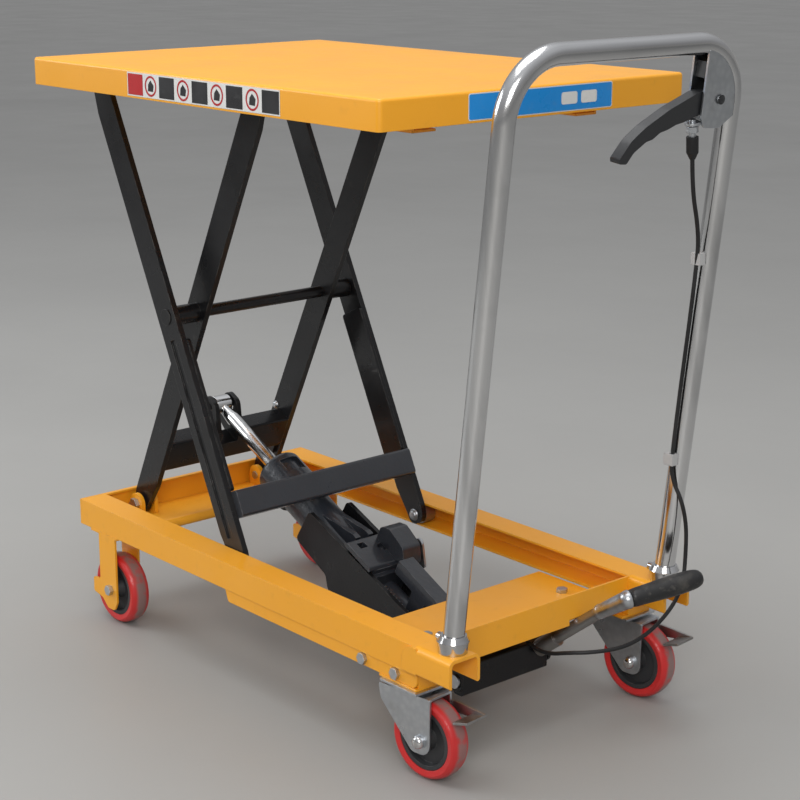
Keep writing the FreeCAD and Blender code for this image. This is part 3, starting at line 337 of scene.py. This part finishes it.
def printed(name, colour):
    """Printed film of a label, slightly scuffed."""
    s = Surface(name, colour, 0.30, coat=0.2)
    s.tint(s.levels(s.noise(70.0, 9.0), 0.62, 0.80, 0.0, 0.35), tuple(0.55 * c + 0.12 for c in colour))
    s.roughen(30.0, 0.24, 0.42)
    return s.bump(s.noise(150.0, 3.0), 0.06, 0.0004).material


# ---------------------------------------------------------------- mesh tools

def mesh_object(name, vertices, faces, material, smooth=False):
    mesh = bpy.data.meshes.new(name)
    mesh.from_pydata([tuple(v) for v in vertices], [], faces)
    mesh.validate()
    build = bmesh.new()
    build.from_mesh(mesh)
    bmesh.ops.recalc_face_normals(build, faces=build.faces)
    build.to_mesh(mesh)
    build.free()
    mesh.polygons.foreach_set("use_smooth", [smooth] * len(mesh.polygons))
    obj = bpy.data.objects.new(name, mesh)
    bpy.context.collection.objects.link(obj)
    mesh.materials.append(material)
    return obj


def axis_frame(origin, axis):
    """Matrix that puts +Z along axis at origin."""
    return Matrix.Translation(origin) @ Vector(axis).normalized().to_track_quat("Z", "Y").to_matrix().to_4x4()


def lathe(name, profile, origin, axis, material, steps=48):
    """Turns a closed outline of (radius, height) points about an axis."""
    place = axis_frame(origin, axis)
    vertices = []
    for i in range(steps):
        angle = 2 * math.pi * i / steps
        for radius, height in profile:
            vertices.append(place @ Vector((radius * math.cos(angle), radius * math.sin(angle), height)))
    count = len(profile)
    faces = []
    for i in range(steps):
        for j in range(count - 1):
            a, b = i * count + j, ((i + 1) % steps) * count + j
            faces.append((a, b, b + 1, a + 1))
    obj = mesh_object(name, vertices, faces, material, smooth=True)
    weld(obj)
    return obj


def weld(obj, distance=0.00002):
    """Merges coincident points and turns every face outward."""
    build = bmesh.new()
    build.from_mesh(obj.data)
    bmesh.ops.remove_doubles(build, verts=build.verts, dist=distance)
    bmesh.ops.recalc_face_normals(build, faces=build.faces)
    build.to_mesh(obj.data)
    build.free()


def loft(name, rings, material, smooth=True):
    """Joins rings of equal point count into one closed skin."""
    count = len(rings[0])
    vertices = [p for ring in rings for p in ring]
    faces = []
    for i in range(len(rings) - 1):
        for j in range(count):
            a, b = i * count + j, i * count + (j + 1) % count
            faces.append((a, b, b + count, a + count))
    faces.append(tuple(reversed(range(count))))
    last = (len(rings) - 1) * count
    faces.append(tuple(range(last, last + count)))
    return mesh_object(name, vertices, faces, material, smooth)


def even_shading(obj):
    """Joins coincident points and splits real corners, so that flats stay flat and curves look smooth."""
    custom = obj.data.attributes.get("custom_normal")
    if custom is not None:
        obj.data.attributes.remove(custom)
    obj.data.polygons.foreach_set("use_smooth", [True] * len(obj.data.polygons))
    merge = obj.modifiers.new("merged_points", "WELD")
    merge.merge_threshold = 0.00001
    split = obj.modifiers.new("hard_corners", "EDGE_SPLIT")
    split.split_angle = math.radians(CORNER_ANGLE)
    split.use_edge_sharp = False


def lean(point):
    """A point drawn upright over the handle's foot, tilted to the handle's angle."""
    return HANDLE_FOOT + Matrix.Rotation(HANDLE_LEAN, 3, "Y") @ Vector(point)


def unit_point(along, across, up):
    """A point of the pump unit, from its own straight frame to its place at rest."""
    return PUMP_PIVOT + Matrix.Rotation(UNIT_ANGLE, 3, "Y") @ Vector((along, across, up))


def dress(obj, body, slot, *replaced):
    """Ties a piece to its moving body and hides the CAD nodes that it stands for; the material slot is not used.
    """
    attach(obj, body)
    if replaced:
        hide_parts(*replaced)
    return obj


# ---------------------------------------------------------------- finishes of the CAD nodes

def make_finishes():
    finishes = {
        "orange_paint": gloss_paint(),
        "black_paint": black_paint(),
        "cast_black": cast_black(),
        "handle_chrome": chrome("handle_chrome", (0.66, 0.66, 0.665), 0.10, 0.20),
        "rod_chrome": chrome("rod_chrome", (0.80, 0.80, 0.80), 0.08, 0.18),
        "zinc": zinc(),
        "steel": plain_steel(),
        "hub_grey": dark_hub(),
        "black_rubber": rubber("black_rubber", (0.014, 0.014, 0.015), 0.45, 0.65),
        "grip_rubber": worn_rubber(),
        "black_plastic": moulded("black_plastic", (0.020, 0.021, 0.023), 0.30, 0.42),
        "grey_plastic": moulded("grey_plastic", (0.46, 0.46, 0.46), 0.40, 0.55),
    }
    return finishes


# Pieces whose surface differs from the rest of their material slot
OTHER_FINISH = {"caster_brake_left": "steel", "caster_brake_right": "steel", "rod_pin": "black_paint",
                # the outer cross beam takes cast_black for its glossier coat and for its lighter bluish colour
                # and edges, which are partly a painted highlight
                "pedal_cap": "zinc", "outer_cross_beam": "cast_black"}


def finish_nodes(finishes):
    record = frame["record"]
    slots = {part["node"]: part["material_slot"] for part in record["subparts"]}
    wheels = {
        "front_tyre_left": ((FRONT_WHEEL_X, -WHEEL_Y, WHEEL_RADIUS), 0.0),
        "front_tyre_right": ((FRONT_WHEEL_X, WHEEL_Y, WHEEL_RADIUS), 0.0),
        "caster_tyre_left": (caster_centre(-WHEEL_Y), CASTER_TURN),
        "caster_tyre_right": (caster_centre(WHEEL_Y), CASTER_TURN),
    }
    for name, obj in frame["nodes"].items():
        if name in wheels:
            material = tread_red("tread_" + name, *wheels[name])
        else:
            material = finishes[OTHER_FINISH.get(name, slots[name])]
        obj.data.materials.clear()
        obj.data.materials.append(material)
        even_shading(obj)


def caster_centre(y):
    """Middle of a caster's wheel, with the fork turned a little off straight."""
    along = CASTER_TRAIL * math.cos(CASTER_TURN)
    aside = CASTER_TRAIL * math.sin(CASTER_TURN)
    return (SWIVEL_X + along, y + aside, WHEEL_RADIUS)


# ---------------------------------------------------------------- detailed pieces

def release_cable(finishes):
    points = [Vector(p) / 1000 for p in CABLE_ROUTE]
    cable = curve_object("cable", points, CABLE_DIAMETER / 2, finishes["black_rubber"])
    dress(cable, "base_frame", "black_rubber", "release_cable")


def return_spring(finishes):
    """Open coil beside the tank, with a hook at each end."""
    turns, per_turn, radius = 11, 16, 0.0052
    start, end = -0.104, -0.030
    across, up = -0.0225, 0.022
    points = [unit_point(start, across, up)]
    for i in range(turns * per_turn + 1):
        angle = 2 * math.pi * i / per_turn
        along = start + 0.004 + (end - start - 0.008) * i / (turns * per_turn)
        points.append(unit_point(along, across + radius * math.cos(angle), up + radius * math.sin(angle)))
    points.append(unit_point(end, across, up))
    spring = curve_object("spring_coil", points, 0.0011, finishes["zinc"])
    dress(spring, "pump_unit", "zinc", "return_spring")


def pedal_grip(finishes):
    """Moulded rubber grip: flats along its length, fullest past the middle, with a worn end."""
    start, tip = Vector((0.372, 0.073, 0.178)), Vector((0.410, 0.163, 0.196))
    length = (tip - start).length
    place = axis_frame(start, tip - start)
    stations = [(0.002, 0.0108), (0.006, 0.0118), (0.022, 0.0120), (0.045, 0.0131), (0.060, 0.0136),
                (0.078, 0.0132), (0.090, 0.0122), (0.096, 0.0095), (length - 0.0005, 0.0050)]
    rings = []
    for along, radius in stations:
        ring = []
        for i in range(GRIP_SIDES):
            angle = 2 * math.pi * i / GRIP_SIDES
            reach = radius * (1.0 if i % 2 == 0 else GRIP_VALLEY)
            ring.append(place @ Vector((reach * math.cos(angle), reach * math.sin(angle), along)))
        rings.append(ring)
    grip = loft("foot_grip", rings, finishes["grip_rubber"])
    detail = grip.modifiers.new("smooth_form", "SUBSURF")
    detail.levels = 1
    detail.render_levels = 1
    dress(grip, "foot_pedal", "black_rubber", "pedal_grip")


def lever_slot_painted_shade(finishes):
    """Black block that fills the lever housing above the lever's root: painted shade standing in for the shadow
    in the housing's slot.
    """
    outline = [(0.122, 0.6330), (0.147, 0.6220), (0.150, 0.632), (0.143, 0.644), (0.124, 0.651)]
    rings = [[lean((x, y, z)) for y, z in outline] for x in (-0.0086, 0.0086)]
    # painted shade: a black block put where the lever housing's slot is only in shadow
    shade_block = loft("lever_slot_painted_shade", rings, finishes["black_plastic"], smooth=False)
    dress(shade_block, "base_frame", "black_plastic")


def bolt_head(name, centre, direction, radius, height, material, body, slot):
    """Domed round bolt head with a flat washer under it."""
    washer = 0.0008
    profile = [(0.0, height), (0.45 * radius, 0.95 * height), (0.72 * radius, 0.75 * height),
               (0.80 * radius, 0.35 * height), (0.80 * radius, washer), (radius, washer), (radius, 0.0),
               (0.0, 0.0)]
    return dress(lathe(name, profile, Vector(centre), direction, material), body, slot)


def small_bolts(finishes):
    """Bolt heads on the arms' inner faces, and the screw of the lever's pin."""
    for side, y in (("left", -1), ("right", 1)):
        inward = (0, -y, 0)
        arm_end = (ROLLER_X, y * OUTER_ARM_FACE_Y, ROLLER_Z)
        channel_end = (CHANNEL_BOLT_X, y * INNER_ARM_FACE_Y, CHANNEL_BOLT_Z)
        bolt_head("arm_end_bolt_" + side, arm_end, inward, 0.0085, 0.005, finishes["zinc"], "outer_arms", "zinc")
        bolt_head("channel_bolt_" + side, channel_end, inward, 0.0060, 0.004, finishes["zinc"], "inner_arms",
                  "zinc")
    for name, face in (("front", 0.0132), ("rear", -0.0132)):
        outward = lean((math.copysign(1, face), 0, 0)) - lean((0, 0, 0))
        bolt_head("lever_screw_" + name, lean((face, *LEVER_PIVOT)), outward, 0.0055, 0.0016,
                  finishes["black_plastic"], "base_frame", "black_plastic")


def axle_caps(finishes):
    """Domed heads of the caster axles, on both legs of each fork."""
    dome = [(0.0, 0.0052), (0.0025, 0.0050), (0.0048, 0.0042), (0.0066, 0.0026), (0.0076, 0.0006),
            (0.0077, 0.0)]
    for side, y in (("left", -WHEEL_Y), ("right", WHEEL_Y)):
        axle = Vector((-math.sin(CASTER_TURN), math.cos(CASTER_TURN), 0.0))
        for name, sign in (("inner", -math.copysign(1, y)), ("outer", math.copysign(1, y))):
            origin = Vector(caster_centre(y)) + axle * sign * 0.0229
            cap = lathe("axle_cap_%s_%s" % (name, side), dome, origin, axle * sign, finishes["rod_chrome"])
            dress(cap, "caster_" + side, "rod_chrome")


def quad(x0, x1, z0, z1, y):
    return [(x0, y, z0), (x1, y, z0), (x1, y, z1), (x0, y, z1)]


def flat_shapes(name, outlines, material, body, slot, thickness, outward):
    """Thin raised shapes, one for each outline, such as the print of a label."""
    vertices, faces = [], []
    for outline in outlines:
        base = len(vertices)
        count = len(outline)
        vertices += [Vector(p) for p in outline]
        vertices += [Vector(p) + Vector(outward) * thickness for p in outline]
        faces.append(tuple(range(base, base + count)))
        faces.append(tuple(reversed(range(base + count, base + 2 * count))))
        for i in range(count):
            a, b = base + i, base + (i + 1) % count
            faces.append((a, b, b + count, a + count))
    return dress(mesh_object(name, vertices, faces, material), body, slot)


def side_label():
    """Row of plain warning-style tiles along the deck's near long face."""
    x0, x1, z0, z1 = -0.194, 0.115, 0.7525, 0.7815
    y = DECK_SIDE_Y - 0.0001
    white = printed("label_white", (0.78, 0.78, 0.76))
    red = printed("label_red", (0.50, 0.018, 0.022))
    black = printed("label_black", (0.018, 0.018, 0.020))
    out = (0, -1, 0)
    flat_shapes("side_label_film", [quad(x0, x1, z0, z1, y)], white, "deck", "grey_plastic", 0.0002, out)
    tile = (x1 - x0) / 9
    gap = 0.0018
    top, bottom = z1 - gap, z0 + gap
    middle = (top + bottom) / 2
    face = y - 0.00025
    reds = [quad(x0 + gap, x0 + tile, bottom, top, face)]
    blacks = []
    for i in range(1, 9):
        left = x0 + i * tile
        if i % 2 == 0:
            blacks.append(quad(left + gap * 0.6, left + tile - gap * 0.8, bottom, top, face))
            continue
        centre = left + tile / 2
        steps = 28
        outer, inner = 0.0125, 0.0100
        for k in range(steps):
            a, b = 2 * math.pi * k / steps, 2 * math.pi * (k + 1) / steps
            reds.append([(centre + r * math.cos(t), face, middle + r * math.sin(t))
                         for r, t in ((inner, a), (outer, a), (outer, b), (inner, b))])
        blacks.append([(centre + dx, face, middle + dz) for dx, dz in
                       ((-0.006, -0.006), (0.005, -0.0065), (0.0065, 0.001), (0.0, 0.007), (-0.005, 0.002))])
    flat_shapes("side_label_red", reds, red, "deck", "grey_plastic", 0.00015, out)
    flat_shapes("side_label_black", blacks, black, "deck", "grey_plastic", 0.00015, out)
    return white


def rounded_outline(y0, y1, z0, z1, radius, x, steps=6):
    outline = []
    for cy, cz, first in ((y1 - radius, z1 - radius, 0), (y0 + radius, z1 - radius, 90),
                          (y0 + radius, z0 + radius, 180), (y1 - radius, z0 + radius, 270)):
        for i in range(steps + 1):
            angle = math.radians(first + 90 * i / steps)
            outline.append((x, cy + radius * math.cos(angle), cz + radius * math.sin(angle)))
    return outline


def end_label(white):
    """Blue plate label with a white border and two blank fields on the deck's rear face."""
    x = DECK_END_X + 0.0001
    y0, y1, z0, z1 = -0.113, 0.114, 0.7525, 0.7825
    blue = printed("label_blue", (0.012, 0.27, 0.72))
    out = (1, 0, 0)
    flat_shapes("end_label_film", [rounded_outline(y0, y1, z0, z1, 0.003, x)], white, "deck", "grey_plastic",
                0.0002, out)
    flat_shapes("end_label_blue", [rounded_outline(y0 + 0.0012, y1 - 0.0012, z0 + 0.0012, z1 - 0.0012, 0.0022,
                                                   x + 0.00025)], blue, "deck", "grey_plastic", 0.00015, out)
    fields = [rounded_outline(0.030, 0.056, z0 + 0.008, z1 - 0.008, 0.003, x + 0.00045),
              rounded_outline(0.062, 0.088, z0 + 0.008, z1 - 0.008, 0.003, x + 0.00045)]
    flat_shapes("end_label_fields", fields, white, "deck", "grey_plastic", 0.0001, out)


# ---------------------------------------------------------------- stage and light

def make_stage():
    s = Surface("floor_surface", (0.36, 0.355, 0.34), 0.45)
    s.tint(s.levels(s.noise(1.3, 6.0), 0.35, 0.75, 0.0, 0.35), (0.28, 0.275, 0.265))
    s.roughen(3.0, 0.42, 0.62)
    size = 40.0
    floor = mesh_object("floor", [(-size, -size, 0), (size, -size, 0), (size, size, 0), (-size, size, 0)],
                        [(0, 1, 2, 3)], s.material)


def area_light(name, place, target, size, power, colour=(1.0, 1.0, 1.0)):
    data = bpy.data.lights.new(name, "AREA")
    data.shape = "RECTANGLE"
    data.size, data.size_y = size
    data.energy = power
    data.color = colour
    light = bpy.data.objects.new(name, data)
    bpy.context.collection.objects.link(light)
    light.location = place
    light.rotation_euler = (Vector(target) - Vector(place)).to_track_quat("-Z", "Y").to_euler()


def make_lights():
    world = bpy.data.worlds.new("studio")
    bpy.context.scene.world = world
    world.use_nodes = True
    tree = world.node_tree
    background = tree.nodes["Background"]
    coords = tree.nodes.new("ShaderNodeTexCoord")
    parts = tree.nodes.new("ShaderNodeSeparateXYZ")
    ramp = tree.nodes.new("ShaderNodeValToRGB")
    tree.links.new(coords.outputs["Generated"], parts.inputs["Vector"])
    tree.links.new(parts.outputs["Z"], ramp.inputs["Fac"])
    tree.links.new(ramp.outputs["Color"], background.inputs["Color"])
    stops = ramp.color_ramp.elements
    stops[0].position, stops[0].color = 0.0, (0.42, 0.415, 0.40, 1)
    stops[1].position, stops[1].color = 1.0, (0.95, 0.97, 1.0, 1)
    middle = stops.new(0.22)
    middle.color = (0.42, 0.42, 0.43, 1)
    background.inputs["Strength"].default_value = 0.75
    area_light("overhead", (-0.2, -0.2, 3.2), (-0.1, 0.0, 0.4), (2.6, 2.0), 52.0)
    area_light("key", (2.6, -2.4, 2.2), (0.0, 0.0, 0.4), (1.6, 1.6), 60.0, (1.0, 0.98, 0.95))
    area_light("side_window", (-2.6, -2.0, 1.7), (0.0, 0.0, 0.4), (1.6, 1.2), 34.0, (0.95, 0.98, 1.0))


# ---------------------------------------------------------------- everything

make_camera()
FINISHES = make_finishes()
release_cable(FINISHES)
finish_nodes(FINISHES)
return_spring(FINISHES)
pedal_grip(FINISHES)
lever_slot_painted_shade(FINISHES)
small_bolts(FINISHES)
axle_caps(FINISHES)
end_label(side_label())
make_stage()
make_lights()
bpy.context.scene.view_settings.view_transform = "Standard"
